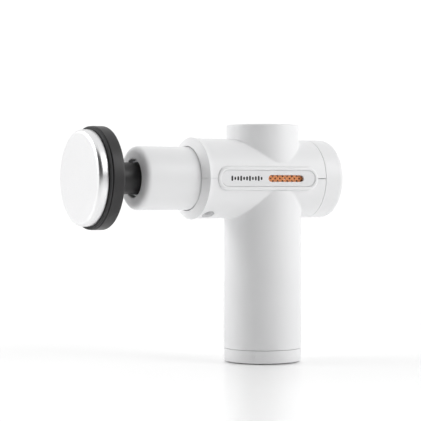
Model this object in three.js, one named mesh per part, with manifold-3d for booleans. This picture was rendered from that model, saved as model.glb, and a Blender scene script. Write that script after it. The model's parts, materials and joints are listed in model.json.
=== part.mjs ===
// A cordless massage gun: a round handle with a barrel across its top, a motor boss above,
// and a plunger that pushes a flat massage head to and fro.
// Millimetres, +Z up. The origin is the centre of the handle's base. The head points to -X.

import * as THREE from 'three';
import { mergeVertices } from 'three/addons/utils/BufferGeometryUtils.js';
import Module from 'manifold-3d';

const wasm = await Module();
wasm.setup();

// ---------- driving dimensions ----------

const gap = 0.3; // clearance between separate pieces
const wall = 2.2; // thickness of the moulded casings
const barrelHeight = 108.2; // height of the barrel's axis

const handle = { radius: 23, bore: 20.8, seam: 7.9 };
const boss = { radius: 21.5, bore: 19.3, top: 140, edge: 0.8 };
const barrel = { radius: 23.25, bore: 21, front: -48.4, rear: 30 };
const collar = { lip: 23.8, tip: 18.9, front: -51.6, bore: 18.6, wallRear: -48.2 };
const rearCap = { end: 43, fillet: 3, inside: 40.25 };
const nose = { radius: 18.25, front: -86, fillet: 4.5, hole: 10.9 };
const plate = { centre: -9.75, length: 67.8, height: 14, rim: 2.4, floor: 21.7 };
const vent = { centre: 1.75, length: 24.6, height: 4.2, overlap: 0.7 };
const head = { rear: -104.6, radius: 29.1, stem: 9 };

const stroke = 5; // crank throw, so the plunger moves this far each way
const cellRadius = 9.2;
const cellLength = 65;
const cellBottom = 25;

const fine = 40; // sides of the large round shapes
const medium = 24;
const coarse = 10; // sides of screws and small pins

// ---------- materials ----------

const material = (color, roughness, metalness = 0) =>
  new THREE.MeshStandardMaterial({ color, roughness, metalness });

const whitePlastic = () => material(0xf1f1f2, 0.5);
const rimPlastic = () => material(0x2b2a2c, 0.55);
const greyPlastic = () => material(0xc9c9cc, 0.6);
const rubber = () => material(0x1c1c1e, 0.85);
const steel = () => material(0xb4b6ba, 0.3, 1);
const polishedAlloy = () => material(0xdfe0e2, 0.16, 1);
const castAlloy = () => material(0xa5a8ac, 0.45, 1);
const copper = () => material(0xc8703a, 0.35, 1);
const magnet = () => material(0x4a4b50, 0.4, 1);
const boardGreen = () => material(0x1f5a3c, 0.55);
const cellWrap = () => material(0x2f6fb0, 0.4);
const bronze = () => material(0xa97b42, 0.4, 1);

// ---------- booleans ----------

function toSolid(geometry) {
  const bare = geometry.clone();
  bare.deleteAttribute('normal');
  bare.deleteAttribute('uv');
  const merged = mergeVertices(bare);
  return new wasm.Manifold(new wasm.Mesh({
    numProp: 3,
    vertProperties: new Float32Array(merged.attributes.position.array),
    triVerts: new Uint32Array(merged.index.array),
  }));
}

function toGeometry(solid) {
  const mesh = solid.getMesh();
  const geometry = new THREE.BufferGeometry();
  geometry.setAttribute('position', new THREE.BufferAttribute(mesh.vertProperties, 3));
  geometry.setIndex(new THREE.BufferAttribute(mesh.triVerts, 1));
  geometry.computeVertexNormals();
  return geometry;
}

const add = (first, ...rest) =>
  toGeometry(rest.reduce((sum, piece) => sum.add(toSolid(piece)), toSolid(first)));

const cut = (first, ...rest) =>
  toGeometry(rest.reduce((left, piece) => left.subtract(toSolid(piece)), toSolid(first)));

const keep = (first, second) => toGeometry(toSolid(first).intersect(toSolid(second)));

// ---------- shape helpers ----------

// A lathe whose faces point outward, whichever way its outline of [radius, height] runs.
function turned(outline, sides) {
  const points = outline.map(([radius, height]) => new THREE.Vector2(radius, height));
  if (THREE.ShapeUtils.isClockWise(points)) points.reverse();
  return new THREE.LatheGeometry(points, sides);
}

// A turned shape about +Z. Each outline point is [radius, height].
const turnedZ = (outline, sides = fine) => turned(outline, sides).rotateX(Math.PI / 2);

// A turned shape about the barrel's axis. Each outline point is [radius, x].
const turnedX = (outline, sides = fine) =>
  turned(outline, sides).rotateZ(-Math.PI / 2).translate(0, 0, barrelHeight);

const rodZ = (radius, bottom, top, sides = fine) =>
  turnedZ([[0, bottom], [radius, bottom], [radius, top], [0, top]], sides);

const tubeZ = (outer, inner, bottom, top, sides = fine) =>
  turnedZ([[inner, bottom], [outer, bottom], [outer, top], [inner, top], [inner, bottom]], sides);

const rodX = (radius, start, end, sides = fine) =>
  turnedX([[0, start], [radius, start], [radius, end], [0, end]], sides);

const tubeX = (outer, inner, start, end, sides = fine) =>
  turnedX([[inner, start], [outer, start], [outer, end], [inner, end], [inner, start]], sides);

function box(xLow, xHigh, yLow, yHigh, zLow, zHigh) {
  return new THREE.BoxGeometry(xHigh - xLow, yHigh - yLow, zHigh - zLow)
    .translate((xLow + xHigh) / 2, (yLow + yHigh) / 2, (zLow + zHigh) / 2);
}

// Points of a quarter-round edge from one corner tangent to the other.
function roundedEdge(centreRadius, centreHeight, radius, startAngle, endAngle, steps = 5) {
  return Array.from({ length: steps + 1 }, (_, i) => {
    const angle = startAngle + (endAngle - startAngle) * i / steps;
    return [centreRadius + radius * Math.cos(angle), centreHeight + radius * Math.sin(angle)];
  });
}

function stadium(length, height) {
  const radius = height / 2;
  const reach = length / 2 - radius;
  const shape = new THREE.Shape();
  shape.moveTo(-reach, -radius);
  shape.lineTo(reach, -radius);
  shape.absarc(reach, 0, radius, -Math.PI / 2, Math.PI / 2, false);
  shape.lineTo(-reach, radius);
  shape.absarc(-reach, 0, radius, Math.PI / 2, Math.PI * 1.5, false);
  return shape;
}

// An outline in X and Z pushed out sideways on one flank: side is -1 for the -Y flank.
function flankSlab(shape, centreX, side, inside, outside, curveSegments = 7) {
  const geometry = new THREE.ExtrudeGeometry(shape, {
    depth: outside - inside, bevelEnabled: false, curveSegments,
  });
  return geometry.rotateX(Math.PI / 2).translate(centreX, side > 0 ? outside : -inside, barrelHeight);
}

function slabZ(shape, bottom, top, curveSegments = 8) {
  return new THREE.ExtrudeGeometry(shape, {
    depth: top - bottom, bevelEnabled: false, curveSegments,
  }).translate(0, 0, bottom);
}

function wire(points, radius) {
  const path = new THREE.CatmullRomCurve3(points.map((p) => new THREE.Vector3(...p)));
  const section = new THREE.Shape().absarc(0, 0, radius, 0, Math.PI * 2);
  return new THREE.ExtrudeGeometry(section, {
    steps: 9, extrudePath: path, bevelEnabled: false, curveSegments: 4,
  });
}

// A pan-head screw on its own axis: the head's underside is at 0 and the shank runs to +Z.
function screw(headRadius, headHeight, shankRadius, length) {
  return turnedZ([
    [0, -headHeight], [headRadius * 0.75, -headHeight], [headRadius, -headHeight * 0.6],
    [headRadius, 0], [shankRadius, 0], [shankRadius, length - shankRadius],
    [shankRadius * 0.3, length], [0, length],
  ], coarse);
}

const massageGun = new THREE.Group();

function place(name, geometry, surface, position = [0, 0, 0]) {
  const mesh = new THREE.Mesh(geometry, surface);
  mesh.name = name;
  mesh.position.set(...position);
  massageGun.add(mesh);
  return mesh;
}

const sides = [['left', -1], ['right', 1]];

// ---------- casing ----------

const frontScrew = { x: -42.7, y: 9.9, plugRadius: 3.35, holeRadius: 3.65, plugSeat: 90.2, seat: 93.3 };
const rearScrew = { x: 32.2, y: 11.5, seat: 94.2 };
const headRoom = 2.9; // radius of the hole that takes a case screw's head
const mountPost = { x: 20.5, y: 7, radius: 2.6, bottom: 117.3, top: 129 };
const basePost = { y: 17.8, radius: 3.2, top: 15 };
const chargePort = { height: 15.5, bezelRadius: 5.2, face: 22.5 };
const shankHole = 1.5;
const postRadius = { front: 4.3, rear: 3.7 };

const collarOutline = [
  [barrel.radius, barrel.rear],
  [barrel.radius, barrel.front + 2.2],
  [barrel.radius + 0.15, barrel.front + 1],
  [collar.lip, barrel.front],
  [collar.lip - 0.9, barrel.front - 0.75],
  [collar.tip + 0.6, collar.front + 0.3],
  [collar.tip, collar.front],
];

function casingOutside() {
  const spigot = rodX(handle.bore, barrel.rear - 1, 35);
  const body = turnedX([[0, barrel.rear], ...collarOutline, [0, collar.front]]);
  const bossEdge = roundedEdge(boss.radius - boss.edge, boss.top - boss.edge, boss.edge, 0, Math.PI / 2, 3);
  const bossShape = turnedZ([[0, barrelHeight], [boss.radius, barrelHeight], ...bossEdge, [0, boss.top]]);
  const handleShape = rodZ(handle.radius, handle.seam + gap, barrelHeight);
  return add(body, spigot, bossShape, handleShape);
}

function casingHollow() {
  const flangeRoom = rodX(barrel.bore, collar.wallRear, 28);
  const spigotBore = rodX(handle.bore - wall, 27, 36);
  const noseBore = rodX(collar.bore, collar.front - 1, collar.wallRear + 1);
  const bossBore = rodZ(boss.bore, barrelHeight, boss.top - wall - 0.1);
  const handleBore = rodZ(handle.bore, handle.seam, barrelHeight);
  return add(flangeRoom, spigotBore, noseBore, bossBore, handleBore);
}

// The ring that holds the nose sleeve's flange against the collar's front wall.
const noseRib = () => tubeX(barrel.bore + 0.4, 17.5, -46, -44.8);

function screwPosts() {
  const posts = [];
  for (const [, side] of sides) {
    const fullHeight = [barrelHeight - 22, barrelHeight + 22];
    const front = rodZ(postRadius.front, ...fullHeight, 16).translate(frontScrew.x, side * frontScrew.y, 0);
    const rear = rodZ(postRadius.rear, ...fullHeight, 16).translate(rearScrew.x, side * rearScrew.y, 0);
    posts.push(keep(front, rodX(barrel.bore + 0.5, -46, -30)));
    posts.push(keep(rear, rodX(handle.bore - 0.5, 28, 34.9)));
  }
  return posts;
}

function plateOpenings() {
  const cuts = [];
  for (const [, side] of sides) {
    const pocket = stadium(plate.length, plate.height);
    const around = 2 * (vent.overlap + gap);
    const airway = stadium(vent.length + around, vent.height + around);
    cuts.push(flankSlab(pocket, plate.centre, side, plate.floor, 26));
    cuts.push(flankSlab(airway, vent.centre, side, 19, 26));
  }
  return cuts;
}

const lowerHalf = () => box(-60, 50, -30, 30, -5, barrelHeight - gap / 2);
const upperHalf = () => box(-60, 50, -30, 30, barrelHeight + gap / 2, 150);

function shellBlank() {
  const shell = cut(casingOutside(), casingHollow());
  return cut(add(shell, ...screwPosts(), noseRib()), ...plateOpenings());
}

function lowerShell() {
  const cuts = [];
  const posts = [];
  for (const [, side] of sides) {
    const at = (piece, screwSpot) => piece.translate(screwSpot.x, side * screwSpot.y, 0);
    cuts.push(at(rodZ(frontScrew.holeRadius, 80, frontScrew.plugSeat, medium), frontScrew));
    for (const spot of [frontScrew, rearScrew]) {
      cuts.push(at(rodZ(headRoom, 80, spot.seat, 20), spot));
      cuts.push(at(rodZ(shankHole, 80, barrelHeight + 1, coarse), spot));
    }
    const post = rodZ(basePost.radius, handle.seam + gap, basePost.top, 20)
      .translate(0, side * basePost.y, 0);
    posts.push(keep(post, rodZ(handle.radius - 1, 0, 20)));
    cuts.push(rodZ(shankHole, 5, basePost.top - 1.5, coarse).translate(0, side * basePost.y, 0));
  }
  const portHole = rodX(chargePort.bezelRadius + gap, 18, 26, medium)
    .translate(0, 0, chargePort.height - barrelHeight);
  return cut(add(keep(shellBlank(), lowerHalf()), ...posts), ...cuts, portHole);
}

function upperShell() {
  const posts = [];
  const holes = [];
  for (const [, side] of sides) {
    for (const spot of [frontScrew, rearScrew]) {
      holes.push(rodZ(shankHole, 100, barrelHeight + 9, coarse).translate(spot.x, side * spot.y, 0));
    }
    for (const end of [-1, 1]) {
      const at = [end * mountPost.x, side * mountPost.y, 0];
      posts.push(rodZ(mountPost.radius, mountPost.bottom, mountPost.top, 20).translate(...at));
      holes.push(rodZ(shankHole, 100, mountPost.bottom + 6, coarse).translate(...at));
    }
  }
  return cut(add(keep(shellBlank(), upperHalf()), ...posts), ...holes);
}

function rearCapShape() {
  const edge = roundedEdge(barrel.radius - rearCap.fillet, rearCap.end - rearCap.fillet,
    rearCap.fillet, 0, Math.PI / 2, 4);
  const front = barrel.rear + gap;
  const outside = turnedX([[0, front], [barrel.radius, front], ...edge, [0, rearCap.end]]);
  const inside = rodX(handle.bore + gap, barrel.rear, rearCap.inside);
  const panelPocket = rodX(15, rearCap.end - 1.3, rearCap.end + 1);
  const buttonHole = rodX(7.1, rearCap.inside - 1, rearCap.end + 1, medium);
  return cut(outside, inside, panelPocket, buttonHole);
}

function baseCapShape() {
  const radius = handle.radius;
  const outside = turnedZ([
    [20.6, 0.5], [radius - 0.9, 0.5], [radius - 0.25, 0.75], [radius, 1.4], [radius, handle.seam],
    [20.5, handle.seam], [20.5, 12], [18.9, 12], [18.9, 5.1], [0, 5.1], [0, 1.8], [20.6, 1.8],
    [20.6, 0.5],
  ]);
  const cuts = [];
  for (const [, side] of sides) {
    const y = side * basePost.y;
    cuts.push(rodZ(basePost.radius + gap, handle.seam, 13, 20).translate(0, y, 0));
    cuts.push(rodZ(2.7, 1, 3.6, 20).translate(0, y, 0));
    cuts.push(rodZ(shankHole, 1, 9, coarse).translate(0, y, 0));
  }
  const jackRoom = box(10, 24, -6, 6, 9.5, 13);
  return cut(outside, ...cuts, jackRoom);
}

place('lower_shell', lowerShell(), whitePlastic());
place('upper_shell', upperShell(), whitePlastic());
place('rear_cap', rearCapShape(), whitePlastic());
place('base_cap', baseCapShape(), whitePlastic());
place('base_pad', rodZ(20.3, 0, 1.5), rubber());

// ---------- nose ----------

const bush = { outer: 12.7, inner: 10.6, front: -80, rear: -58 };

function noseSleeve() {
  const frontEdge = roundedEdge(nose.radius - nose.fillet, nose.front + nose.fillet,
    nose.fillet, 0, -Math.PI / 2, 4);
  return turnedX([
    [nose.hole + 0.5, nose.front], [nose.hole, nose.front + 0.5], [nose.hole, bush.front - gap],
    [bush.outer + gap, bush.front - gap], [bush.outer + gap, bush.rear + 1],
    [15.6, bush.rear + 2], [15.6, -46.4], [20.4, -46.4], [20.4, collar.wallRear + gap],
    [nose.radius, collar.wallRear + gap], ...frontEdge, [nose.hole + 0.5, nose.front],
  ]);
}

place('nose_sleeve', noseSleeve(), whitePlastic());
place('nose_bush', tubeX(bush.outer, bush.inner, bush.front, bush.rear, medium), bronze());

// ---------- side trims, plates and vents ----------

const trimDepth = { inside: plate.floor + 0.25, outside: 23.9 };
const plateDepth = { inside: plate.floor + gap, outside: 23.45 };
const meshDepth = { inside: plate.floor - 0.4, outside: plate.floor };
const plateInset = plate.rim + gap;

function sideTrim(side) {
  const outline = stadium(plate.length - 2 * gap, plate.height - 2 * gap);
  outline.holes.push(stadium(plate.length - 2 * plate.rim, plate.height - 2 * plate.rim));
  return flankSlab(outline, plate.centre, side, trimDepth.inside, trimDepth.outside);
}

function sidePlate(side) {
  const outline = stadium(plate.length - 2 * plateInset, plate.height - 2 * plateInset);
  const sheet = flankSlab(outline, plate.centre, side, plateDepth.inside, plateDepth.outside);
  return cut(sheet, flankSlab(stadium(vent.length, vent.height), vent.centre, side, 20, 26));
}

function ventMesh(side) {
  const holeRadius = 0.65;
  const pitch = 3.3;
  const rowStep = 1.8;
  const count = 7;
  const outline = stadium(vent.length + 2 * vent.overlap, vent.height + 2 * vent.overlap);
  const hole = (x, z) => {
    const ring = new THREE.Path();
    ring.absarc(x, z, holeRadius, 0, Math.PI * 2, true);
    outline.holes.push(ring);
  };
  for (let i = 0; i < count; i++) {
    const x = (i - (count - 1) / 2) * pitch;
    hole(x, -rowStep / 2);
    if (i < count - 1) hole(x + pitch / 2, rowStep / 2);
  }
  return flankSlab(outline, vent.centre, side, meshDepth.inside, meshDepth.outside, 4);
}

for (const [name, side] of sides) {
  place(`side_trim_${name}`, sideTrim(side), whitePlastic());
  place(`side_plate_${name}`, sidePlate(side), whitePlastic());
  place(`vent_mesh_${name}`, ventMesh(side), copper());
}

// ---------- fasteners ----------

for (const [name, side] of sides) {
  const plug = rodZ(frontScrew.plugRadius, 0, 2.2, medium);
  place(`screw_plug_${name}`, plug, greyPlastic(), [frontScrew.x, side * frontScrew.y, 87.6]);
  for (const [end, spot] of [['front', frontScrew], ['rear', rearScrew]]) {
    place(`case_screw_${end}_${name}`, screw(2.4, 1.6, 1.2, 22), steel(),
      [spot.x, side * spot.y, spot.seat - gap]);
  }
  place(`base_screw_${name}`, screw(2.3, 1.4, 1.2, 8), steel(), [0, side * basePost.y, 3.5]);
}

// ---------- controls at the rear ----------

const button = { radius: 6.6, stemEnd: 38.75 };

function controlBoard() {
  const board = rodX(16.5, 35.6, 37);
  const chip = box(32.6, 36, -7.5, -1.6, barrelHeight + 2, barrelHeight + 9);
  const driver = box(33.4, 36, 1.6, 7.5, barrelHeight + 3, barrelHeight + 8);
  const capacitor = rodX(2.5, 29.5, 36, coarse).translate(0, 5, -9);
  return add(board, chip, driver, capacitor);
}

function powerButton() {
  return turnedX([
    [0, button.stemEnd], [1.6, button.stemEnd], [1.6, 39.15], [8, 39.15], [8, 39.95],
    [button.radius, 39.95], [button.radius, 42.7], [button.radius - 0.5, 43.2], [0, 43.2],
  ], medium);
}

place('control_panel', tubeX(14.7, 7.1, 42, 42.9), rimPlastic());
place('control_board', controlBoard(), boardGreen());
place('button_switch', box(37.3, 37.8, -3, 3, barrelHeight - 3, barrelHeight + 3), rimPlastic());
place('power_button', powerButton(), greyPlastic());

// ---------- motor, hanging from the upper shell with its shaft down ----------

const bearing = { outer: 4.5, inner: 2.3, height: 3, lower: 115, upper: 127.9 };
const mount = { radius: 18.4, bottom: 114.6, top: 117, hub: 6.2, hubTop: 131 };
const core = { bore: 6.5, back: 8.4, tip: 12.9, bottom: 120.2, top: 128.2 };
const coil = { inner: 8.8, outer: 11.6, halfWidth: 1.75, bottom: 119, top: 129.4, tie: 130.2 };
const bell = { radius: 16, bore: 14.7, mouth: 118.6, ceiling: 132.2, shoulder: 133.6, top: 135.4 };
const crank = { bottom: 110.8, top: 113.9, weight: 11, pinBoss: 3.6, pin: 1.7, roller: 4 };
const toothCount = 12;

// The same shape repeated round the motor's axis.
function aroundShaft(count, shape) {
  return Array.from({ length: count }, (_, i) => shape().rotateZ(i * 2 * Math.PI / count));
}

function motorMount() {
  const ear = box(-23.4, 23.4, -10, 10, mount.bottom, mount.top);
  const flange = keep(add(rodZ(mount.radius, mount.bottom, mount.top), ear), tubeX(19.6, 1, -30, 30));
  const hub = rodZ(mount.hub, mount.top - 1, mount.hubTop, medium);
  const seat = bearing.outer + 0.2;
  const holes = [
    rodZ(seat, 110, bearing.lower + bearing.height + 0.1, medium),
    rodZ(seat, bearing.upper - 0.2, 140, medium),
    rodZ(seat - 1.3, 110, 140, medium),
  ];
  for (const end of [-1, 1]) {
    for (const [, side] of sides) {
      holes.push(rodZ(shankHole, 110, 120, coarse).translate(end * mountPost.x, side * mountPost.y, 0));
    }
  }
  return cut(add(flange, hub), ...holes);
}

// The laminated core: a ring with teeth that widen at their tips.
function statorCore() {
  const tooth = () => add(
    box(core.back - 0.5, core.tip - 0.5, -0.9, 0.9, core.bottom, core.top),
    box(core.tip - 0.9, core.tip, -2.3, 2.3, core.bottom, core.top),
  );
  return add(tubeZ(core.back, core.bore, core.bottom, core.top, medium), ...aroundShaft(toothCount, tooth));
}

// The coils, joined above the core by the ring where their ends are tied.
function statorWindings() {
  const oneCoil = () => cut(
    box(coil.inner, coil.outer, -coil.halfWidth, coil.halfWidth, coil.bottom, coil.top),
    box(core.back - 0.4, core.tip + 0.1, -1.2, 1.2, core.bottom - gap, core.top + gap),
  );
  const tie = tubeZ(10.4, coil.inner, coil.top - 0.8, coil.tie, medium);
  return add(tie, ...aroundShaft(toothCount, oneCoil));
}

function rotorBell() {
  const cup = turnedZ([
    [2.3, bell.ceiling], [bell.bore, bell.ceiling], [bell.bore, bell.mouth], [bell.radius, bell.mouth],
    [bell.radius, bell.shoulder - 0.8], [bell.radius - 0.8, bell.shoulder], [5, bell.shoulder],
    [5, bell.top], [2.3, bell.top], [2.3, bell.ceiling],
  ], medium);
  const ventHole = () => rodZ(2, bell.ceiling - 1, bell.top, coarse).translate(10, 0, 0);
  return cut(cup, ...aroundShaft(6, ventHole));
}

// The web carries the pin on one side and a half-disc counterweight on the other.
function crankDisc() {
  const web = rodZ(6.5, crank.bottom, crank.top, medium);
  const reach = crank.weight + 1;
  const weight = cut(rodZ(crank.weight, crank.bottom, crank.top),
    box(-reach, reach, -1, reach, crank.bottom - 1, crank.top + 1));
  const pinBoss = rodZ(crank.pinBoss, crank.bottom, crank.top, medium).translate(0, stroke, 0);
  const shaftHole = rodZ(2.3, crank.bottom - 1, crank.top + 1, coarse);
  const pinHole = rodZ(crank.pin + gap, crank.bottom - 1, crank.top + 1, coarse).translate(0, stroke, 0);
  return cut(add(web, weight, pinBoss), shaftHole, pinHole);
}

const bearingRing = (bottom) =>
  tubeZ(bearing.outer, bearing.inner, bottom, bottom + bearing.height, medium);

place('motor_mount', motorMount(), castAlloy());
place('motor_stator', statorCore(), steel());
place('motor_windings', statorWindings(), copper());
place('motor_bearing_lower', bearingRing(bearing.lower), steel());
place('motor_bearing_upper', bearingRing(bearing.upper), steel());
place('rotor_bell', rotorBell(), steel());
place('rotor_magnets', tubeZ(14.4, 13.3, 119.4, 129.6, medium), magnet());
place('motor_shaft', rodZ(2, crank.bottom + 0.2, bell.top - 0.2, coarse), steel());
place('crank_disc', crankDisc(), castAlloy());
place('crank_pin', rodZ(crank.pin, 103.6, crank.top - 0.2, coarse).translate(0, stroke, 0), steel());
place('crank_bearing', tubeZ(crank.roller, 2.1, 104.6, 110, medium).translate(0, stroke, 0), steel());

let mountScrewNumber = 0;
for (const end of [-1, 1]) {
  for (const [, side] of sides) {
    mountScrewNumber += 1;
    place(`motor_mount_screw_${mountScrewNumber}`, screw(2.3, 1.5, 1.2, 7.5), steel(),
      [end * mountPost.x, side * mountPost.y, 114.5]);
  }
}

// ---------- plunger ----------

const tube = { outer: 10.3, inner: 9.3, front: -84, rear: -53.5, floor: -55.5 };

// The slot is wider than its roller, because the crank and the plunger are open at this joint.
function yoke() {
  const bottom = 104;
  const top = 110.3;
  const frame = slabZ(stadium(27.6, 19), bottom, top).rotateZ(Math.PI / 2);
  const slot = slabZ(stadium(19.2, 10.8), bottom - 1, top + 1).rotateZ(Math.PI / 2);
  const arm = box(-24, -8, -5, 5, bottom, top);
  const rod = rodX(5, tube.rear + gap, -22, 24);
  const boltHole = rodX(1.8, tube.rear - 1, tube.rear + 9, coarse);
  return cut(add(frame, arm, rod), slot, boltHole);
}

function plungerTube() {
  return turnedX([
    [1.8, tube.rear], [tube.outer - 0.4, tube.rear], [tube.outer, tube.rear - 0.4],
    [tube.outer, tube.front + 0.4], [tube.outer - 0.4, tube.front], [tube.inner + 0.2, tube.front],
    [tube.inner, tube.front + 0.4], [tube.inner, tube.floor], [1.8, tube.floor], [1.8, tube.rear],
  ], medium);
}

const plungerBolt = () => screw(3.4, 1.6, 1.5, 9).rotateY(Math.PI / 2);

place('plunger_tube', plungerTube(), castAlloy());
place('plunger_bolt', plungerBolt(), steel(), [tube.floor - 0.1, 0, barrelHeight]);
place('yoke', yoke(), castAlloy());

// ---------- massage head ----------

const disc = { hubFront: -110.2, front: -111.7, recess: -106.7 };
const contact = { front: -119.6, radius: 27.1, fillet: 2.3, thickness: 1.4 };
const ringFront = -113.3;

function headStem() {
  return turnedX([
    [6.4, -58.6], [head.stem - 0.5, -58.6], [head.stem, -59.2],
    [head.stem, -65.2], [7.6, -65.2], [7.6, -66.9], [head.stem, -66.9],
    [head.stem, -97.2], [9.8, -97.5], [9.8, -98.7], [head.stem, -99],
    [head.stem, head.rear + 0.3], [6, head.rear + 0.3], [6, -107.2], [1.9, -107.2],
    [1.9, -98], [6.4, -98], [6.4, -58.6],
  ], medium);
}

function headBody() {
  const radius = head.radius;
  return turnedX([
    [2, -107.5], [6.3, -107.5], [6.3, head.rear], [radius - 0.8, head.rear],
    [radius, head.rear - 0.8], [radius, disc.front + 0.4], [radius - 0.4, disc.front], [24, disc.front],
    [24, disc.recess], [10.5, disc.recess], [10.5, disc.hubFront], [2, disc.hubFront], [2, -107.5],
  ]);
}

function headPlate() {
  const { front, radius, fillet, thickness } = contact;
  const skirt = ringFront - gap;
  const edge = roundedEdge(radius - fillet, front + fillet, fillet, 0, -Math.PI / 2, 4);
  return turnedX([
    [0, front + thickness], [25.4, front + thickness], [25.4, skirt], [radius, skirt],
    ...edge, [0, front],
  ]);
}

function sealRing() {
  const section = new THREE.Path().absarc(8.5, -66.05, 0.65, 0, Math.PI * 2, false).getPoints(3);
  return turnedX(section.map((p) => [p.x, p.y]), medium);
}

place('head_stem', headStem(), rimPlastic());
place('head_seal', sealRing(), rubber());
place('head_body', headBody(), rimPlastic());
place('head_ring', tubeX(head.radius - 0.3, 24.4, ringFront, disc.front - gap), rubber());
place('head_plate', headPlate(), polishedAlloy());
place('head_screw', screw(3.2, 1.7, 1.6, 8.6).rotateY(Math.PI / 2), steel(),
  [disc.hubFront - 0.1, 0, barrelHeight]);

// ---------- battery and charging ----------

// Three cells stand in a triangle, each 0.2 mm further out than touching.
const cellSpots = [0, 1, 2].map((i) => {
  const angle = Math.PI / 2 + i * 2 * Math.PI / 3;
  const reach = cellRadius * 2 / Math.sqrt(3) + 0.2;
  return [reach * Math.cos(angle), reach * Math.sin(angle)];
});

function cellHolder(bottom, top) {
  const trim = [];
  for (const [x, y] of cellSpots) trim.push(rodZ(5, bottom - 1, top + 1, 20).translate(x, y, 0));
  return cut(rodZ(20.2, bottom, top, medium), ...trim);
}

function batteryCell() {
  const shoulder = cellLength - 0.8;
  return turnedZ([
    [0, 0], [cellRadius - 0.5, 0], [cellRadius, 0.5], [cellRadius, shoulder - 0.7],
    [cellRadius - 0.7, shoulder], [3, shoulder], [3, cellLength], [0, cellLength],
  ], medium);
}

function batteryBoard() {
  const board = rodZ(17, 94.2, 95.6, medium);
  const chip = box(-6, 2, -4, 4, 95, 97);
  const connector = box(7, 13, -4, 4, 95, 98.6);
  return add(board, chip, connector);
}

function chargeSocket() {
  const body = box(11.5, 20, -4.4, 4.4, -4.4, 4.4);
  const mouth = rodX(2.9, 14, 24, 20).translate(0, 0, -barrelHeight);
  const pin = rodX(1, 13, 21, 12).translate(0, 0, -barrelHeight);
  return add(cut(body, mouth), pin).translate(0, 0, chargePort.height);
}

place('cell_holder_lower', cellHolder(21.6, 24.7), rimPlastic());
place('cell_holder_upper', cellHolder(90.3, 93.4), rimPlastic());
cellSpots.forEach(([x, y], i) => {
  place(`battery_cell_${i + 1}`, batteryCell(), cellWrap(), [x, y, cellBottom]);
});
place('battery_board', batteryBoard(), boardGreen());
place('charge_socket', chargeSocket(), rimPlastic());
place('charge_bezel',
  tubeX(chargePort.bezelRadius, 3.3, chargePort.face - 0.5, chargePort.face + 0.3, 24)
    .translate(0, 0, chargePort.height - barrelHeight), rimPlastic());

// ---------- wiring ----------

place('battery_lead', wire([
  [13.4, 0, 97.2], [17.5, 0, 97.2], [23, 1, 97.8], [28, 1, 100], [32, 0, 102], [35.2, 0, 102.2],
], 1.1), rubber());
place('motor_lead', wire([
  [14, 0, 112.4], [19, 0, 112.2], [26, 0, 112.2], [31, 0, 111.6], [35.2, 0, 111.4],
], 1.1), rubber());
place('charge_lead', wire([
  [11.1, 0, 15.5], [8, 0, 15.7], [5, 0, 16.8], [3, 0, 18.8], [2.4, 0, 21.2],
], 1.1), rubber());

export default massageGun;
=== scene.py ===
"""Looks for a cordless massage gun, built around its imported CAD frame.

The head points to -X, the handle stands on Z = 0, and the barrel runs along X.
Outlines are written in millimetres and scaled to metres when a mesh is made.
"""

import json
from math import asin, cos, hypot, pi, radians, sin, sqrt, tan

import bmesh
import bpy
from mathutils import Matrix, Vector


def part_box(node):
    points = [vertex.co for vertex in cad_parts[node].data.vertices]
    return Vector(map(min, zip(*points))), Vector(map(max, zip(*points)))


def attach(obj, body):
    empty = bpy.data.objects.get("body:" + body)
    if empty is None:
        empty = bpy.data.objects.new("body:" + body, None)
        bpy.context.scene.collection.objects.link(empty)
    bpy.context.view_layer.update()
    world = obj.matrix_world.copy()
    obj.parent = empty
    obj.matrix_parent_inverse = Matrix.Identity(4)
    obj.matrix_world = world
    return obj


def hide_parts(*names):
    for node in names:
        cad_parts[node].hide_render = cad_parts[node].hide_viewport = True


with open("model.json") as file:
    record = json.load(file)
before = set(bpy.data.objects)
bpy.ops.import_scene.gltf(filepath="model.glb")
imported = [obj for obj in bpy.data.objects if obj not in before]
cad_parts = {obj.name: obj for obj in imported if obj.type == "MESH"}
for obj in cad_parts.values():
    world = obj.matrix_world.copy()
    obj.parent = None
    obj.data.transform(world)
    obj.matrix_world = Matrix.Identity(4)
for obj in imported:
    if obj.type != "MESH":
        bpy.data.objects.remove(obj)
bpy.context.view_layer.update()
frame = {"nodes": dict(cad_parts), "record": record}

MM = 0.001


def span(node, axis):
    """The lowest and highest coordinate of a CAD node along one axis, in millimetres."""
    low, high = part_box(node)
    return low[axis] / MM, high[axis] / MM


X, Y, Z = 0, 1, 2
HANDLE_R = span("base_cap", Y)[1]
AXIS_Z = sum(span("nose_sleeve", Z)) / 2
BARREL_R = span("rear_cap", Y)[1]
BOSS_R = 21.5
BOSS_TOP = span("upper_shell", Z)[1]
BOSS_EDGE = 0.8  # rounding round the top of the boss
BOSS_ROOF = 2.3
WALL = 2.25
INNER = (BARREL_R - WALL) / BARREL_R  # the inside surface is the outside one shrunk about the barrel
SEAM_GAP = 0.3
REAR_X = span("rear_cap", X)[0] - SEAM_GAP
REAR_END = span("rear_cap", X)[1]
BASE_SEAM = 7.9
NOSE_R = 18.25
NOSE_FRONT = span("nose_sleeve", X)[0]
HEAD_REAR = span("head_body", X)[1]
HEAD_R = span("head_body", Y)[1]
HEAD_FRONT = span("head_plate", X)[0]
CONTACT_R = span("head_plate", Y)[1]
PLATE_X, PLATE_LENGTH, PLATE_HEIGHT = -9.75, 67.8, 14.0
PLATE_FACE = span("side_plate_right", Y)[1]
RIM_FACE = span("side_trim_right", Y)[1]
POCKET_FLOOR = 21.7
VENT_X, VENT_LENGTH, VENT_HEIGHT = 2.0, 24.1, 3.9
VENT_OVERLAP = 0.7
PLUG_X, PLUG_Y = -42.7, 9.9
PLUG_HOLE_R = 3.65
PORT_Z = sum(span("charge_bezel", Z)) / 2
PORT_HOLE_R = 5.5

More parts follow.
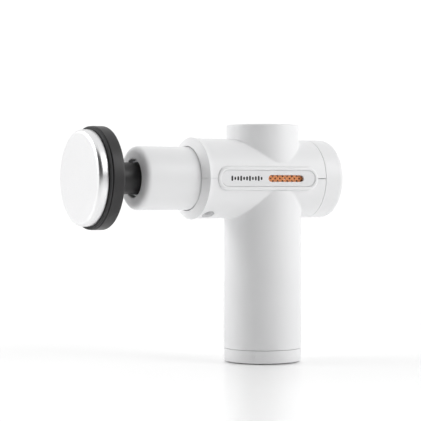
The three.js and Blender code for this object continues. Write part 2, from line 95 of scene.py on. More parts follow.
ROUND = 160  # sides of a large turned piece
SMALL_ROUND = 64
SIDES = {"left": -1, "right": 1}


# ---------- materials ----------

def new_material(name):
    material = bpy.data.materials.new(name)
    material.use_nodes = True
    nodes = material.node_tree.nodes
    return material, material.node_tree, nodes["Principled BSDF"]


def noise(tree, scale, detail=3.0):
    """A noise texture in object space. Scale is in features per metre."""
    place = tree.nodes.new("ShaderNodeTexCoord")
    texture = tree.nodes.new("ShaderNodeTexNoise")
    texture.inputs["Scale"].default_value = scale
    texture.inputs["Detail"].default_value = detail
    tree.links.new(place.outputs["Object"], texture.inputs["Vector"])
    return texture


def ramp(tree, source, low, high, start=0.3, end=0.7):
    """Maps a noise value to colours or grey levels between low and high."""
    node = tree.nodes.new("ShaderNodeValToRGB")
    node.color_ramp.elements[0].position = start
    node.color_ramp.elements[1].position = end
    for element, value in zip(node.color_ramp.elements, (low, high)):
        element.color = (*value, 1) if isinstance(value, tuple) else (value, value, value, 1)
    tree.links.new(source, node.inputs["Fac"])
    return node.outputs["Color"]


def bump(tree, shader, height, strength, distance):
    node = tree.nodes.new("ShaderNodeBump")
    node.inputs["Strength"].default_value = strength
    node.inputs["Distance"].default_value = distance
    tree.links.new(height, node.inputs["Height"])
    tree.links.new(node.outputs["Normal"], shader.inputs["Normal"])


def edge_mask(tree):
    """Bright along convex edges, where handling polishes a piece."""
    geometry = tree.nodes.new("ShaderNodeNewGeometry")
    return ramp(tree, geometry.outputs["Pointiness"], 0.0, 1.0, start=0.52, end=0.62)


def mixed(tree, mask, first, second):
    """first where the mask is dark, second where it is bright; each is a socket or a colour."""
    node = tree.nodes.new("ShaderNodeMix")
    node.data_type = "RGBA"
    tree.links.new(mask, node.inputs["Factor"])
    for socket, value in ((node.inputs["A"], first), (node.inputs["B"], second)):
        if isinstance(value, tuple):
            socket.default_value = (*value, 1)
        else:
            tree.links.new(value, socket)
    return node.outputs["Result"]


def plastic(name, colour, roughness, grain=0.00002, grain_scale=2600, wear=0.08, spread=0.03):
    """Moulded plastic: fine spark-eroded grain, slow colour drift, and edges polished by handling."""
    material, tree, shader = new_material(name)
    drift = noise(tree, 28, 2.0)
    darker = tuple(max(0.0, c - spread * (0.4 + c)) for c in colour)
    lighter = tuple(min(1.0, c + spread * 0.3) for c in colour)
    body = ramp(tree, drift.outputs["Fac"], darker, lighter)
    worn = tuple(min(1.0, c + wear * (1 - c)) for c in colour)
    tree.links.new(mixed(tree, edge_mask(tree), body, worn), shader.inputs["Base Color"])
    patch = noise(tree, 90, 4.0)
    rough = ramp(tree, patch.outputs["Fac"], roughness - 0.05, roughness + 0.06)
    tree.links.new(rough, shader.inputs["Roughness"])
    fine = noise(tree, grain_scale, 2.0)
    bump(tree, shader, fine.outputs["Fac"], 0.35, grain)
    shader.inputs["IOR"].default_value = 1.49
    return material


def metal(name, colour, roughness, scale=900, spread=0.06, depth=0.000008, metallic=1.0, edge_gain=1.08):
    """Metal with fine machining marks; a lower metallic is for a coat of metallic paint."""
    material, tree, shader = new_material(name)
    shader.inputs["Metallic"].default_value = metallic
    marks = noise(tree, scale, 4.0)
    stain = noise(tree, 60, 3.0)
    darker = tuple(c * (1 - spread) for c in colour)
    tone = ramp(tree, stain.outputs["Fac"], darker, colour)
    bright = tuple(min(1.0, c * edge_gain) for c in colour)
    tree.links.new(mixed(tree, edge_mask(tree), tone, bright), shader.inputs["Base Color"])
    rough = ramp(tree, marks.outputs["Fac"], max(0.03, roughness - 0.06), roughness + 0.08)
    tree.links.new(rough, shader.inputs["Roughness"])
    bump(tree, shader, marks.outputs["Fac"], 0.3, depth)
    return material


MATERIALS = {
    "white_plastic": plastic("white_plastic", (0.86, 0.862, 0.868), 0.44, spread=0.015),
    "side_plate": plastic("side_plate", (0.84, 0.842, 0.85), 0.38),
    "rim_plastic": plastic("rim_plastic", (0.019, 0.018, 0.019), 0.42, wear=0.004, spread=0.006),
    # grey_plastic: on the screw plugs this grey is partly painted shade, darker than the plugs' own colour
    # to stand for the shadow in their holes
    "grey_plastic": plastic("grey_plastic", (0.50, 0.50, 0.51), 0.5, wear=0.06),
    "panel_gloss": plastic("panel_gloss", (0.018, 0.018, 0.02), 0.14, grain=0.000004, wear=0.004,
                           spread=0.006),
    "rubber": plastic("rubber", (0.028, 0.028, 0.03), 0.68, grain=0.00004, grain_scale=1500, wear=0.006,
                      spread=0.01),
    "steel": metal("steel", (0.62, 0.62, 0.63), 0.26),
    "polished_alloy": metal("polished_alloy", (0.85, 0.85, 0.855), 0.32, scale=2600, spread=0.01,
                            depth=0.000003, edge_gain=0.995),
    "cast_alloy": metal("cast_alloy", (0.56, 0.57, 0.59), 0.4, scale=1800, depth=0.00002),
    "copper": metal("copper", (0.68, 0.26, 0.10), 0.42, scale=1500, metallic=0.3),
    "bronze": metal("bronze", (0.55, 0.36, 0.16), 0.42, scale=2200, depth=0.00002),
    "magnet": metal("magnet", (0.28, 0.28, 0.3), 0.3),
    "board": plastic("board", (0.012, 0.11, 0.05), 0.32, wear=0.03, spread=0.02),
    "cell": plastic("cell", (0.03, 0.13, 0.34), 0.3, grain=0.000006, wear=0.05),
}


# ---------- mesh helpers ----------

def finish_piece(name, mesh, body, nodes, surface, sharp=35):
    """Shades a mesh, gives it its material, and lets it stand for CAD nodes on their body."""
    mesh.name = name
    mesh.shade_smooth()
    mesh.set_sharp_from_angle(angle=radians(sharp))
    mesh.materials.append(MATERIALS[surface])
    piece = bpy.data.objects.new(name, mesh)
    bpy.context.collection.objects.link(piece)
    weighted = piece.modifiers.new("weighted_normals", "WEIGHTED_NORMAL")
    weighted.keep_sharp = True
    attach(piece, body)
    if nodes:
        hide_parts(*nodes)
    return piece


def rounded(outline, closed):
    """Eases each corner [along, radius, rounding] with a curve as long as an arc of that rounding."""
    points = []
    count = len(outline)
    for index, (along, radius, *rest) in enumerate(outline):
        rounding = rest[0] if rest else 0.0
        corner = Vector((along, radius))
        inside = closed or 0 < index < count - 1
        if not rounding or not inside:
            points.append(corner)
            continue
        before = Vector(outline[index - 1][:2]) - corner
        after = Vector(outline[(index + 1) % count][:2]) - corner
        angle = before.angle(after)
        cutback = min(rounding / tan(angle / 2), before.length * 0.49, after.length * 0.49)
        start = corner + before.normalized() * cutback
        end = corner + after.normalized() * cutback
        steps = 3 + int(rounding > 0.4) * 3 + int(rounding > 2) * 4
        for step in range(steps + 1):
            t = step / steps
            points.append(start.lerp(corner, t).lerp(corner.lerp(end, t), t))
    return points


def turned(outline, axis=X, centre=(0.0, 0.0, AXIS_Z), sides=ROUND, closed=False):
    """A turned mesh about a line along X or Z through centre. Open outlines start and end on the axis."""
    profile = rounded(outline, closed)
    shape = bmesh.new()
    rings = []
    for point in profile:
        along, radius = point
        if radius < 1e-6:
            rings.append([shape.verts.new(axis_point(axis, centre, along, 0, 0))])
            continue
        rings.append([
            shape.verts.new(axis_point(axis, centre, along, radius * cos(a), radius * sin(a)))
            for a in (2 * pi * (k + 0.5) / sides for k in range(sides))
        ])
    pairs = list(zip(rings, rings[1:] + rings[:1] if closed else rings[1:]))
    for first, second in pairs:
        bridge(shape, first, second, sides)
    bmesh.ops.recalc_face_normals(shape, faces=shape.faces)
    return to_mesh(shape)


def axis_point(axis, centre, along, across, up):
    x, y, z = centre
    if axis == X:
        return Vector((along, y + across, z + up)) * MM
    return Vector((x + across, y + up, along)) * MM


def bridge(shape, first, second, sides):
    """Joins two rings, either of which may be a single point, with faces."""
    for k in range(sides):
        after = (k + 1) % sides
        corners = []
        corners += [first[k], first[after]] if len(first) > 1 else [first[0]]
        corners += [second[after], second[k]] if len(second) > 1 else [second[0]]
        if len(corners) > 2:
            shape.faces.new(corners)


def to_mesh(shape):
    mesh = bpy.data.meshes.new("piece")
    shape.to_mesh(mesh)
    shape.free()
    return mesh


def stadium_points(length, height, inset=0.0, steps=28):
    """Points of a stadium outline about its centre, starting at its lower right."""
    radius = height / 2 - inset
    reach = length / 2 - height / 2
    points = []
    for end in (1, -1):
        for k in range(steps + 1):
            angle = -pi / 2 + pi * k / steps + (0 if end > 0 else pi)
            points.append((end * reach + radius * cos(angle), radius * sin(angle)))
    return points


def upright_pill(width, height, steps=8):
    """Points of a stadium outline that stands on end."""
    radius = width / 2
    reach = height / 2 - radius
    points = []
    for end in (1, -1):
        for k in range(steps + 1):
            angle = pi * k / steps + (0 if end > 0 else pi)
            points.append((radius * cos(angle), end * reach + radius * sin(angle)))
    return points


def circle(x, z, radius, steps=20):
    angles = [2 * pi * k / steps for k in range(steps)]
    return [(x + radius * cos(angle), z + radius * sin(angle)) for angle in angles]


def flank_point(centre_x, side, x, depth, z):
    """A point on a flank, at a depth measured outward from the barrel's middle plane."""
    return Vector((centre_x + x, side * depth, AXIS_Z + z)) * MM


def flat_sheet(outlines, inside, outside, bevel, centre_x, side):
    """A flat sheet with rounded edges. The first outline is its rim, and the others are holes."""
    curve = bpy.data.curves.new("sheet", "CURVE")
    curve.dimensions = "2D"
    curve.fill_mode = "BOTH"
    for outline in outlines:
        spline = curve.splines.new("POLY")
        spline.points.add(len(outline) - 1)
        for point, (x, z) in zip(spline.points, outline):
            point.co = (x * MM, z * MM, 0, 1)
        spline.use_cyclic_u = True
    curve.extrude = ((outside - inside) / 2 - bevel) * MM
    curve.bevel_depth = bevel * MM
    curve.bevel_resolution = 2
    curve.offset = -bevel * MM
    holder = bpy.data.objects.new("sheet", curve)
    mesh = bpy.data.meshes.new_from_object(holder)
    bpy.data.objects.remove(holder)
    turn = Matrix.Rotation(pi / 2, 4, "X")
    shift = Matrix.Translation(flank_point(centre_x, side, 0, (inside + outside) / 2, 0))
    mesh.transform(shift @ turn)
    weld(mesh)
    return mesh


def weld(mesh, distance=1e-6):
    shape = bmesh.new()
    shape.from_mesh(mesh)
    bmesh.ops.remove_doubles(shape, verts=shape.verts, dist=distance)
    bmesh.ops.recalc_face_normals(shape, faces=shape.faces)
    shape.to_mesh(mesh)
    shape.free()


def carve(mesh, cutters):
    """The mesh with every cutter mesh taken away."""
    body = bpy.data.objects.new("carved", mesh)
    bpy.context.collection.objects.link(body)
    helpers = []
    for cutter in cutters:
        helper = bpy.data.objects.new("cutter", cutter)
        bpy.context.collection.objects.link(helper)
        helpers.append(helper)
        step = body.modifiers.new("cut", "BOOLEAN")
        step.operation = "DIFFERENCE"
        step.solver = "EXACT"
        step.object = helper
    graph = bpy.context.evaluated_depsgraph_get()
    result = bpy.data.meshes.new_from_object(body.evaluated_get(graph))
    for helper in helpers + [body]:
        bpy.data.objects.remove(helper)
    return result


# ---------- casing shells ----------

FRONT_ROWS = 26
REAR_ROWS = 16
POST_ROWS = 18
FOOT_STEPS = 60  # columns across the post's footprint on the barrel
EDGE_STEPS = 5  # columns between the footprint and the seam
CREASE_WIDTH = 0.7
CREASE_ENDS = 1.2  # the crease stays sharp this close to the post's sides, where it vanishes

BORE_R = BARREL_R - WALL


def barrel_rows(section):
    """A section given as [x, radius], as [x, radius over the barrel's radius]."""
    return [(x, radius / BARREL_R) for x, radius in section]


COLLAR = barrel_rows([
    (-46.0, BORE_R), (-48.2, BORE_R), (-48.2, 18.6), (-51.2, 18.6), (-51.52, 18.68), (-51.6, 18.85),
    (-51.55, 19.05), (-50.65, 20.6), (-49.7, 22.2), (-48.85, 23.65), (-48.68, 23.78), (-48.45, 23.8),
    (-48.0, 23.62), (-47.2, 23.38), (-46.0, BARREL_R),
])
REAR_STEP = barrel_rows([
    (REAR_X - 0.35, BARREL_R), (REAR_X - 0.1, BARREL_R - 0.1), (REAR_X, BARREL_R - 0.35), (REAR_X, 20.8),
    (34.8, 20.8), (35.0, 20.6), (35.0, 18.6), (28.0, 18.6), (27.0, BORE_R),
])


def spaced(start, end, count):
    """count pairs from one [x, scale] pair to another, without the last one."""
    return [tuple(a + (b - a) * k / count for a, b in zip(start, end)) for k in range(count)]


def column_spots(post_radius):
    """[across, up, footprint half-length] of each column, from one seam over to the other."""
    edge = asin(post_radius / BARREL_R)
    spots = []
    for k in range(EDGE_STEPS):
        angle = -pi / 2 + (pi / 2 - edge) * k / EDGE_STEPS
        spots.append((BARREL_R * sin(angle), BARREL_R * cos(angle), 0.0))
    for k in range(FOOT_STEPS + 1):
        turn = -pi / 2 + pi * k / FOOT_STEPS
        across = post_radius * sin(turn)
        spots.append((across, sqrt(BARREL_R ** 2 - across ** 2), post_radius * max(cos(turn), 0.0)))
    return spots + [(-across, up, foot) for across, up, foot in reversed(spots[:EDGE_STEPS])]


FRONT_SEAM, REAR_SEAM = 0.06, 0.20  # half the gap between the shells
SEAM_OPENS, SEAM_OPEN = 20, 26


def seam_half(x):
    """Half the gap between the two shells at x: it opens behind the side plates."""
    share = (x - SEAM_OPENS) / (SEAM_OPEN - SEAM_OPENS)
    return FRONT_SEAM + (REAR_SEAM - FRONT_SEAM) * min(1.0, max(0.0, share))


def half_barrel(shape, spots, up_sign):
    """The barrel's columns in front of the post and behind it. Closes each seam end with a face."""
    lines = []
    for number, (across, up, foot) in enumerate(spots):
        front = spaced((-foot * INNER, INNER), COLLAR[0], FRONT_ROWS) + COLLAR
        front += spaced(COLLAR[-1], (-foot, 1.0), FRONT_ROWS)[1:] + [(-foot, 1.0)]
        rear = spaced((foot, 1.0), REAR_STEP[0], REAR_ROWS) + REAR_STEP
        rear += spaced(REAR_STEP[-1], (foot * INNER, INNER), REAR_ROWS)[1:] + [(foot * INNER, INNER)]
        at_seam = number in (0, len(spots) - 1)
        made = []
        for part in (front, rear):
            made.append([
                shape.verts.new(Vector((
                    x, scale * across,
                    AXIS_Z + up_sign * (seam_half(x) if at_seam else scale * up))) * MM)
                for x, scale in part
            ])
        lines.append(made)
    for here, there in zip(lines, lines[1:]):
        for part in (0, 1):
            rows = zip(here[part], here[part][1:], there[part][1:], there[part])
            for corners in rows:
                shape.faces.new(corners)
    for ends in (lines[0], lines[-1]):
        outline = ends[0] + ends[1][1:-1]
        shape.faces.new(outline[:-1] if (outline[0].co - outline[-1].co).length < 1e-9 else outline)


def post_wall(shape, spots, up_sign, radius, scale, ends):
    """One wall of the post: from its crease on the barrel through the ends, [height, radius]."""
    foot_spots = [spot for spot in spots if spot[2] > 1e-6]
    apex = [spot for spot in spots[EDGE_STEPS:-EDGE_STEPS] if spot[2] <= 1e-6]
    around = [(-foot, across, up) for across, up, foot in foot_spots]
    loop = [(0.0, apex[0][0], apex[0][1])] + around
    loop += [(0.0, apex[-1][0], apex[-1][1])] + [(-x, across, up) for x, across, up in reversed(around)]
    first_height = ends[0][0]
    rings = []
    for row in range(POST_ROWS):
        t = row / POST_ROWS
        rings.append([
            shape.verts.new(Vector((
                scale * x, scale * across,
                (1 - t) * (AXIS_Z + up_sign * scale * up) + t * first_height)) * MM)
            for x, across, up in loop
        ])
    for height, end_radius in ends:
        if end_radius == 0:
            rings.append([shape.verts.new(Vector((0, 0, height)) * MM)])
            continue
        ratio = end_radius / radius
        rings.append([
            shape.verts.new(Vector((ratio * x, ratio * across, height)) * MM)
            for x, across, _ in loop
        ])
    for first, second in zip(rings, rings[1:]):
        bridge(shape, first, second, len(loop))


def arc(centre, radius, start, end, steps):
    """Points of an arc from one angle to another, both measured from the second axis."""
    return [
        (centre[0] + radius * sin(start + (end - start) * k / steps),
         centre[1] + radius * cos(start + (end - start) * k / steps))
        for k in range(steps + 1)
    ]


def bevel_creases(shape, post_radius):
    """Rounds the inside corner where the post meets the barrel."""
    creases = []
    for edge in shape.edges:
        on_crease = True
        for vert in edge.verts:
            x, y, z = vert.co / MM
            on_post = abs(hypot(x, y) - post_radius) < 1e-3
            on_barrel = abs(hypot(y, z - AXIS_Z) - BARREL_R) < 1e-3
            on_crease = on_crease and on_post and on_barrel and abs(x) > CREASE_ENDS
        if on_crease:
            creases.append(edge)
    bmesh.ops.bevel(shape, geom=creases, offset=CREASE_WIDTH * MM, offset_type="OFFSET", segments=4,
                    profile=0.5, affect="EDGES")


def shell_mesh(up_sign, post_radius, outer_ends, inner_ends):
    shape = bmesh.new()
    spots = column_spots(post_radius)
    half_barrel(shape, spots, up_sign)
    post_wall(shape, spots, up_sign, post_radius, 1.0, outer_ends)
    post_wall(shape, spots, up_sign, post_radius * INNER, INNER, inner_ends)
    bmesh.ops.remove_doubles(shape, verts=shape.verts, dist=2e-6)
    bmesh.ops.recalc_face_normals(shape, faces=shape.faces)
    bevel_creases(shape, post_radius)
    return to_mesh(shape)


def flank_cutters():
    """The pocket under each side trim, and the airway behind each vent."""
    cutters = []
    for side in SIDES.values():
        pocket = stadium_points(PLATE_LENGTH, PLATE_HEIGHT)
        around = 2 * (VENT_OVERLAP + SEAM_GAP)
        airway = stadium_points(VENT_LENGTH + around, VENT_HEIGHT + around)
        cutters.append(flat_sheet([pocket], POCKET_FLOOR, 27, 0, PLATE_X, side))
        cutters.append(flat_sheet([airway], 18, 27, 0, VENT_X, side))
    return cutters


def peg(radius, bottom, top, x, y):
    """A plain round cutter that stands on Z."""
    outline = [(bottom, 0), (bottom, radius), (top, radius), (top, 0)]
    return turned(outline, Z, (x, y, 0), SMALL_ROUND)


def upper_shell():
    top_arc = arc((BOSS_TOP - BOSS_EDGE, BOSS_R - BOSS_EDGE), BOSS_EDGE, 0, pi / 2, 6)
    outer_ends = [*top_arc, (BOSS_TOP, BOSS_R - 4), (BOSS_TOP, BOSS_R / 2), (BOSS_TOP, 0)]
    ceiling = BOSS_TOP - BOSS_ROOF
    bore = BOSS_R * INNER
    inner_ends = [(ceiling - 0.5, bore), (ceiling, bore - 0.5), (ceiling, 8), (ceiling, 0)]
    mesh = carve(shell_mesh(1, BOSS_R, outer_ends, inner_ends), flank_cutters())
    finish_piece("upper_casing", mesh, "casing", ["upper_shell"], "white_plastic")


def lower_shell():
    bottom = BASE_SEAM + SEAM_GAP
    bore = HANDLE_R * INNER
    rim = [(bottom + 0.3, HANDLE_R), (bottom + 0.08, HANDLE_R - 0.08), (bottom, HANDLE_R - 0.3)]
    outer_ends = [*rim, (bottom, bore + 0.05)]
    inner_ends = [(bottom + 0.3, bore), (bottom, bore + 0.05)]
    cutters = flank_cutters()
    for side in SIDES.values():
        cutters.append(peg(PLUG_HOLE_R, 80, AXIS_Z - 12, PLUG_X, side * PLUG_Y))
    port = [(18, 0), (18, PORT_HOLE_R), (26, PORT_HOLE_R), (26, 0)]
    cutters.append(turned(port, X, (0, 0, PORT_Z), SMALL_ROUND))
    mesh = carve(shell_mesh(-1, HANDLE_R, outer_ends, inner_ends), cutters)
    finish_piece("lower_casing", mesh, "casing", ["lower_shell"], "white_plastic")


# ---------- turned pieces of the casing ----------

def rear_cap():
    outline = [
        (REAR_X + 0.14, 21.1, 0.1), (REAR_X + 0.14, BARREL_R, 0.25), (REAR_END, BARREL_R, 3.2),
        (REAR_END, 15.1, 0.3), (41.7, 15.1, 0.1), (41.7, 7.2, 0.2), (40.25, 7.2, 0.2),
        (40.25, 21.1, 1.0),
    ]
    finish_piece("rear_cap_moulding", turned(outline, closed=True), "casing", ["rear_cap"], "white_plastic")


def nose():
    outline = [
        (NOSE_FRONT, 10.9, 0.7), (-79.7, 10.9, 0.1), (-79.7, 13.0, 0.1), (-57, 13.0, 0.3),
        (-56, 15.6, 0.5), (-46.4, 15.6, 0.3), (-46.4, 20.4, 0.3), (-47.9, 20.4, 0.3),
        (-47.9, NOSE_R, 0.2), (NOSE_FRONT, NOSE_R, 4.6),
    ]
    finish_piece("nose_moulding", turned(outline, closed=True), "casing", ["nose_sleeve"], "white_plastic")
    bush = [(-80, 10.6, 0.3), (-80, 12.7, 0.3), (-58, 12.7, 0.3), (-58, 10.6, 0.3)]
    finish_piece("nose_slide_bush", turned(bush, closed=True), "casing", ["nose_bush"], "bronze")


def base():
    upright = (0, 0, 0)
    base_top = BASE_SEAM + 0.08
    outline = [
        (1.8, 0), (1.8, 20.7, 0.1), (0.5, 20.7, 0.1), (0.5, HANDLE_R, 0.8), (base_top, HANDLE_R, 0.12),
        (base_top, 20.5, 0.1), (12, 20.5, 0.3), (12, 18.9, 0.3), (5.1, 18.9, 0.6), (5.1, 0),
    ]
    finish_piece("base_cap_moulding", turned(outline, Z, upright), "casing", ["base_cap"], "white_plastic")
    pad = [(0, 0), (0, 1), (0, 10), (0, 20.3, 0.35), (1.5, 20.3, 0.2), (1.5, 0)]
    finish_piece("base_foot", turned(pad, Z, upright), "casing", ["base_pad"], "rubber")


# ---------- side trims, plates and vents ----------

def rim_section(z):
    """The side rim's section, as [inset, depth], where its edge meets the barrel at height z."""
    surface = sqrt(BARREL_R ** 2 - z ** 2)
    rise = RIM_FACE - surface
    pillow = [
        (0.04 + 1.3 * (1 - cos(t)), surface + rise * sin(t))
        for t in (pi / 2 * k / 7 for k in range(8))
    ]
    inner = [(1.75, RIM_FACE), (2.0, RIM_FACE - 0.06), (2.2, RIM_FACE - 0.22), (2.3, RIM_FACE - 0.5)]
    return [(0.04, POCKET_FLOOR + 0.25)] + pillow + inner + [(2.35, POCKET_FLOOR + 0.25)]


def side_rim(side):
    """A ring round the side plate: its outer edge follows the barrel and its crest is level."""
    shape = bmesh.new()
    middle = stadium_points(PLATE_LENGTH, PLATE_HEIGHT, 0.1)
    sections = [rim_section(z) for _, z in middle]
    rings = []
    for row in range(len(sections[0])):
        inset = sections[0][row][0]
        spots = stadium_points(PLATE_LENGTH, PLATE_HEIGHT, inset)
        rings.append([
            shape.verts.new(flank_point(PLATE_X, side, x, section[row][1], z))
            for (x, z), section in zip(spots, sections)
        ])
    for first, second in zip(rings, rings[1:] + rings[:1]):
        bridge(shape, first, second, len(first))
    bmesh.ops.recalc_face_normals(shape, faces=shape.faces)
    return to_mesh(shape)


def vent_sheet(side):
    """The copper sheet behind the slot, with three staggered rows of round holes."""
    pitch, row_step, hole_radius = 3.3, 1.45, 0.5
    outlines = [stadium_points(VENT_LENGTH + 2 * VENT_OVERLAP, VENT_HEIGHT + 2 * VENT_OVERLAP)]
    for row in (-1, 0, 1):
        shift = pitch / 2 if row else 0
        for k in range(-4, 5):
            x = k * pitch + shift
            if abs(x) < VENT_LENGTH / 2 - hole_radius:
                outlines.append(circle(x, row * row_step, hole_radius))
    return flat_sheet(outlines, POCKET_FLOOR - 0.4, POCKET_FLOOR, 0.08, VENT_X, side)


def side_mark(name, side):
    """A plain row of printed bars of three heights."""
    bars, pitch, middle = 11, 1.95, -24.6
    shape = bmesh.new()
    for k in range(bars):
        tall = (3.0, 1.9, 2.4)[k % 3]
        across = middle + (k - bars // 2) * pitch
        outline = [(x + across, z) for x, z in upright_pill(1.2, tall)]
        shape.faces.new([shape.verts.new(flank_point(0, side, x, PLATE_FACE + 0.02, z)) for x, z in outline])
    bmesh.ops.recalc_face_normals(shape, faces=shape.faces)
    finish_piece(f"side_mark_{name}", to_mesh(shape), "casing", [], "rim_plastic")


def side_panels():
    for name, side in SIDES.items():
        finish_piece(f"side_rim_{name}", side_rim(side), "casing", [f"side_trim_{name}"], "white_plastic")
        rim = stadium_points(PLATE_LENGTH, PLATE_HEIGHT, 2.42)
        slot = [(x + VENT_X - PLATE_X, z) for x, z in stadium_points(VENT_LENGTH, VENT_HEIGHT)]
        sheet = flat_sheet([rim, slot], POCKET_FLOOR + 0.3, PLATE_FACE, 0.12, PLATE_X, side)
        finish_piece(f"side_panel_{name}", sheet, "casing", [f"side_plate_{name}"], "side_plate")
        finish_piece(f"vent_screen_{name}", vent_sheet(side), "casing", [f"vent_mesh_{name}"], "copper")
        side_mark(name, side)


# Screw plugs set in recessed holes. Their grey is partly the plugs' colour and partly painted shade for the
# shadow inside the hole.
def screw_plugs():
    for name, side in SIDES.items():
        spot = (PLUG_X, side * PLUG_Y, 0)
        bottom, top = span(f"screw_plug_{name}", Z)
        outline = [(bottom + 0.15, 0), (bottom, 2.4, 0.3), (bottom, 3.35, 0.3), (top, 3.35, 0.3), (top, 0)]
        mesh = turned(outline, Z, spot, SMALL_ROUND)
        finish_piece(f"plug_{name}", mesh, "casing", [f"screw_plug_{name}"], "grey_plastic")


# ---------- massage head ----------

def massage_head():
    back = HEAD_REAR
    front = span("head_body", X)[0]
    ring_front, ring_back = span("head_ring", X)
    body = [
        (-107.5, 2), (-107.5, 6.3), (back, 6.3, 0.2), (back, HEAD_R, 1.2), (front, HEAD_R, 0.5),
        (front, 24, 0.2), (-106.7, 24, 0.4), (-106.7, 10.5, 0.4), (-110.2, 10.5, 0.2), (-110.2, 2),
    ]
    finish_piece("head_disc", turned(body, closed=True), "massage_head", ["head_body"], "rim_plastic")
    ring = [
        (ring_back, 24.4, 0.1), (ring_back, HEAD_R - 0.1, 0.3), (ring_front, HEAD_R - 0.2, 0.45),
        (ring_front, 24.4, 0.1),
    ]
    finish_piece("head_gasket", turned(ring, closed=True), "massage_head", ["head_ring"], "rubber")
    skirt = ring_front - SEAM_GAP
    plate = [
        (HEAD_FRONT, 0), (HEAD_FRONT, 1), (HEAD_FRONT, 20), (HEAD_FRONT, CONTACT_R, 2.6),
        (skirt, CONTACT_R, 0.3), (skirt, 25.4, 0.2), (HEAD_FRONT + 1.4, 25.4, 0.3), (HEAD_FRONT + 1.4, 0),
    ]
    contact = turned(plate, sides=200)
    finish_piece("head_contact_plate", contact, "massage_head", ["head_plate"], "polished_alloy")
    stem = [
        (-58.6, 6.4, 0.2), (-58.6, 9.0, 0.7), (-65.2, 9.0, 0.15), (-65.2, 7.6), (-66.9, 7.6),
        (-66.9, 9.0, 0.15), (-97.3, 9.0, 0.3), (-97.3, 9.8, 0.3), (-98.9, 9.8, 0.3), (-98.9, 9.0, 0.3),
        (back + 0.3, 9.0, 0.3),
        (back + 0.3, 6.0), (-107.2, 6.0, 0.3), (-107.2, 1.9), (-98, 1.9), (-98, 6.4, 0.3),
    ]
    shaft = turned(stem, sides=96, closed=True)
    finish_piece("head_shaft", shaft, "massage_head", ["head_stem"], "rim_plastic")
    seal = [(x - 66.05, r + 8.5) for x, r in circle(0, 0, 0.65)]
    finish_piece("head_o_ring", turned(seal, sides=96, closed=True), "massage_head", ["head_seal"], "rubber")


# ---------- plunger ----------

def plunger():
    tube = [
        (-84, 9.3, 0.3), (-84, 10.3, 0.3), (-53.5, 10.3, 0.4), (-53.5, 1.8), (-55.5, 1.8), (-55.5, 9.3, 0.5),
    ]
    socket = turned(tube, sides=96, closed=True)
    finish_piece("plunger_socket", socket, "plunger", ["plunger_tube"], "cast_alloy")


# ---------- controls and charging ----------

def controls():
    panel = [(42.0, 8.7, 0.1), (42.0, 14.8, 0.1), (42.95, 14.8, 0.25), (42.95, 8.7, 0.15)]
    finish_piece("rear_panel", turned(panel, closed=True), "casing", ["control_panel"], "panel_gloss")
    light = [(42.0, 7.25, 0.1), (42.0, 8.5, 0.1), (42.8, 8.5, 0.2), (42.8, 7.25, 0.2)]
    finish_piece("light_ring", turned(light, closed=True), "casing", [], "side_plate")
    button = [
        (38.75, 0), (38.75, 1.6, 0.2), (39.15, 1.6), (39.15, 8, 0.1), (39.95, 8, 0.1), (39.95, 6.6),
        (43.3, 6.6, 0.6), (42.9, 4.5, 0.8), (42.8, 0),
    ]
    finish_piece("power_key", turned(button, sides=96), "button", ["power_button"], "side_plate")


def charging():
    bezel = [(22.0, 3.3, 0.1), (22.0, 5.2, 0.1), (22.85, 5.2, 0.25), (22.85, 3.3, 0.25)]
    ring = turned(bezel, X, (0, 0, PORT_Z), SMALL_ROUND, closed=True)
    finish_piece("charge_ring", ring, "casing", ["charge_bezel"], "grey_plastic")
    cup = [(11.5, 0), (11.5, 4.4, 0.3), (21.6, 4.4, 0.2), (21.6, 2.9, 0.3), (14, 2.9, 0.3), (14, 0)]
    socket = turned(cup, X, (0, 0, PORT_Z), SMALL_ROUND)
    finish_piece("charge_cup", socket, "casing", ["charge_socket"], "rim_plastic")
    contact = [(14.1, 0), (14.1, 1, 0.1), (21, 1, 0.6), (21, 0)]
    finish_piece("charge_contact", turned(contact, X, (0, 0, PORT_Z), SMALL_ROUND), "casing", [], "steel")


def inner_pieces():
    """CAD nodes that keep their shape get their slot's material."""
    slots = {entry["node"]: entry["material_slot"] for entry in frame["record"]["subparts"]}
    for node, piece in frame["nodes"].items():
        piece.data.materials.clear()
        piece.data.materials.append(MATERIALS[slots[node]])


# ---------- studio ----------

CAMERA_TURN = radians(31.35)
CAMERA_AWAY = 0.8935
CAMERA_HEIGHT = 0.1015
CAMERA_YAW = CAMERA_TURN - radians(1.98)
CAMERA_PITCH = radians(-0.78)
SENSOR = 36.0
LENS = 128.394  # focal length in millimetres, for that sensor
DARK_EDGE = -0.47  # cosine, from straight behind the gun, at which the dark side round the lens ends
DARK_BLEND = 0.04  # the same cosine's half width over which it fades
DIM_SIDE = 0.01
BRIGHT_SIDE = 0.93
SEEN_WHITE = 1.05  # what the lens itself sees behind the gun
FLOOR_REACH = 6.0
FLOOR_GLOW_NEAR, FLOOR_GLOW_FAR = 0.05, 0.22  # the far floor turns as pale as the sweep behind it
GLOW_STARTS, GLOW_FULL = 0.15, 1.1  # metres from the gun


def camera():
    data = bpy.data.cameras.new("camera")
    data.sensor_width = SENSOR
    data.lens = LENS
    data.clip_start = 0.05
    data.clip_end = 50
    view = bpy.data.objects.new("camera", data)
    view.location = (-CAMERA_AWAY * sin(CAMERA_TURN), -CAMERA_AWAY * cos(CAMERA_TURN), CAMERA_HEIGHT)
    level = cos(CAMERA_PITCH)
    ahead = Vector((sin(CAMERA_YAW) * level, cos(CAMERA_YAW) * level, sin(CAMERA_PITCH)))
    view.rotation_euler = ahead.to_track_quat("-Z", "Y").to_euler()
    bpy.context.collection.objects.link(view)
    bpy.context.scene.camera = view


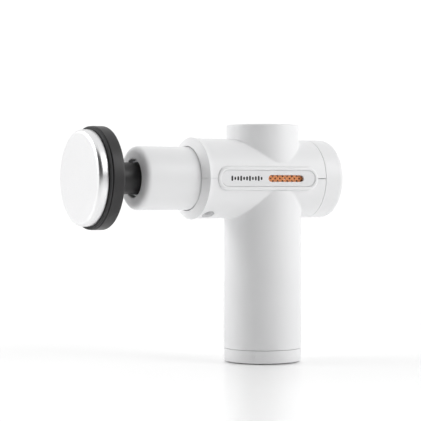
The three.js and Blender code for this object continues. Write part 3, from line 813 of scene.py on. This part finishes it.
def softbox(name, spot, aim, size, power):
    data = bpy.data.lights.new(name, "AREA")
    data.shape = "RECTANGLE"
    data.size, data.size_y = size
    data.energy = power
    light = bpy.data.objects.new(name, data)
    light.location = spot
    light.rotation_euler = (Vector(aim) - Vector(spot)).to_track_quat("-Z", "Y").to_euler()
    bpy.context.collection.objects.link(light)


def backdrop():
    """A white sweep: bright behind and beside the gun, and nearly black round the lens."""
    world = bpy.data.worlds.new("studio")
    bpy.context.scene.world = world
    world.use_nodes = True
    tree = world.node_tree
    glow = tree.nodes["Background"]
    place = tree.nodes.new("ShaderNodeTexCoord")
    towards = tree.nodes.new("ShaderNodeVectorMath")
    towards.operation = "DOT_PRODUCT"
    towards.inputs[1].default_value = (sin(CAMERA_YAW), cos(CAMERA_YAW), 0.0)
    tree.links.new(place.outputs["Generated"], towards.inputs[0])
    fade = tree.nodes.new("ShaderNodeMapRange")
    fade.interpolation_type = "SMOOTHSTEP"
    fade.inputs["From Min"].default_value = DARK_EDGE - DARK_BLEND
    fade.inputs["From Max"].default_value = DARK_EDGE + DARK_BLEND
    fade.inputs["To Min"].default_value = DIM_SIDE
    fade.inputs["To Max"].default_value = BRIGHT_SIDE
    tree.links.new(towards.outputs["Value"], fade.inputs["Value"])
    path = tree.nodes.new("ShaderNodeLightPath")
    seen = tree.nodes.new("ShaderNodeMix")
    tree.links.new(path.outputs["Is Camera Ray"], seen.inputs["Factor"])
    tree.links.new(fade.outputs["Result"], seen.inputs["A"])
    seen.inputs["B"].default_value = SEEN_WHITE
    tree.links.new(seen.outputs["Result"], glow.inputs["Strength"])
    glow.inputs["Color"].default_value = (1, 1, 1, 1)


def floor_material():
    material, tree, shader = new_material("pale_floor")
    shader.inputs["Base Color"].default_value = (0.93, 0.93, 0.93, 1)
    shader.inputs["Emission Color"].default_value = (1, 1, 1, 1)
    shader.inputs["Roughness"].default_value = 0.13
    shader.inputs["IOR"].default_value = 1.35
    place = tree.nodes.new("ShaderNodeTexCoord")
    away = tree.nodes.new("ShaderNodeVectorMath")
    away.operation = "LENGTH"
    rise = tree.nodes.new("ShaderNodeMapRange")
    rise.inputs["From Min"].default_value = GLOW_STARTS
    rise.inputs["From Max"].default_value = GLOW_FULL
    rise.inputs["To Min"].default_value = FLOOR_GLOW_NEAR
    rise.inputs["To Max"].default_value = FLOOR_GLOW_FAR
    tree.links.new(place.outputs["Object"], away.inputs[0])
    tree.links.new(away.outputs["Value"], rise.inputs["Value"])
    tree.links.new(rise.outputs["Result"], shader.inputs["Emission Strength"])
    return material


def pale_floor():
    mesh = bpy.data.meshes.new("floor")
    corners = [(x * FLOOR_REACH, y * FLOOR_REACH, 0) for x, y in ((-1, -1), (1, -1), (1, 1), (-1, 1))]
    mesh.from_pydata(corners, [], [(0, 1, 2, 3)])
    mesh.materials.append(floor_material())
    floor = bpy.data.objects.new("floor", mesh)
    bpy.context.collection.objects.link(floor)


def studio():
    bpy.context.scene.view_settings.view_transform = "Standard"
    backdrop()
    middle = (0, 0, 0.09)
    softbox("right_softbox", (0.56, -0.68, 0.56), middle, (0.5, 0.6), 4.2)
    softbox("left_softbox", (-0.77, 0.47, 0.52), middle, (0.45, 0.5), 3.6)
    pale_floor()


inner_pieces()
upper_shell()
lower_shell()
rear_cap()
nose()
base()
side_panels()
screw_plugs()
massage_head()
plunger()
controls()
charging()
camera()
studio()
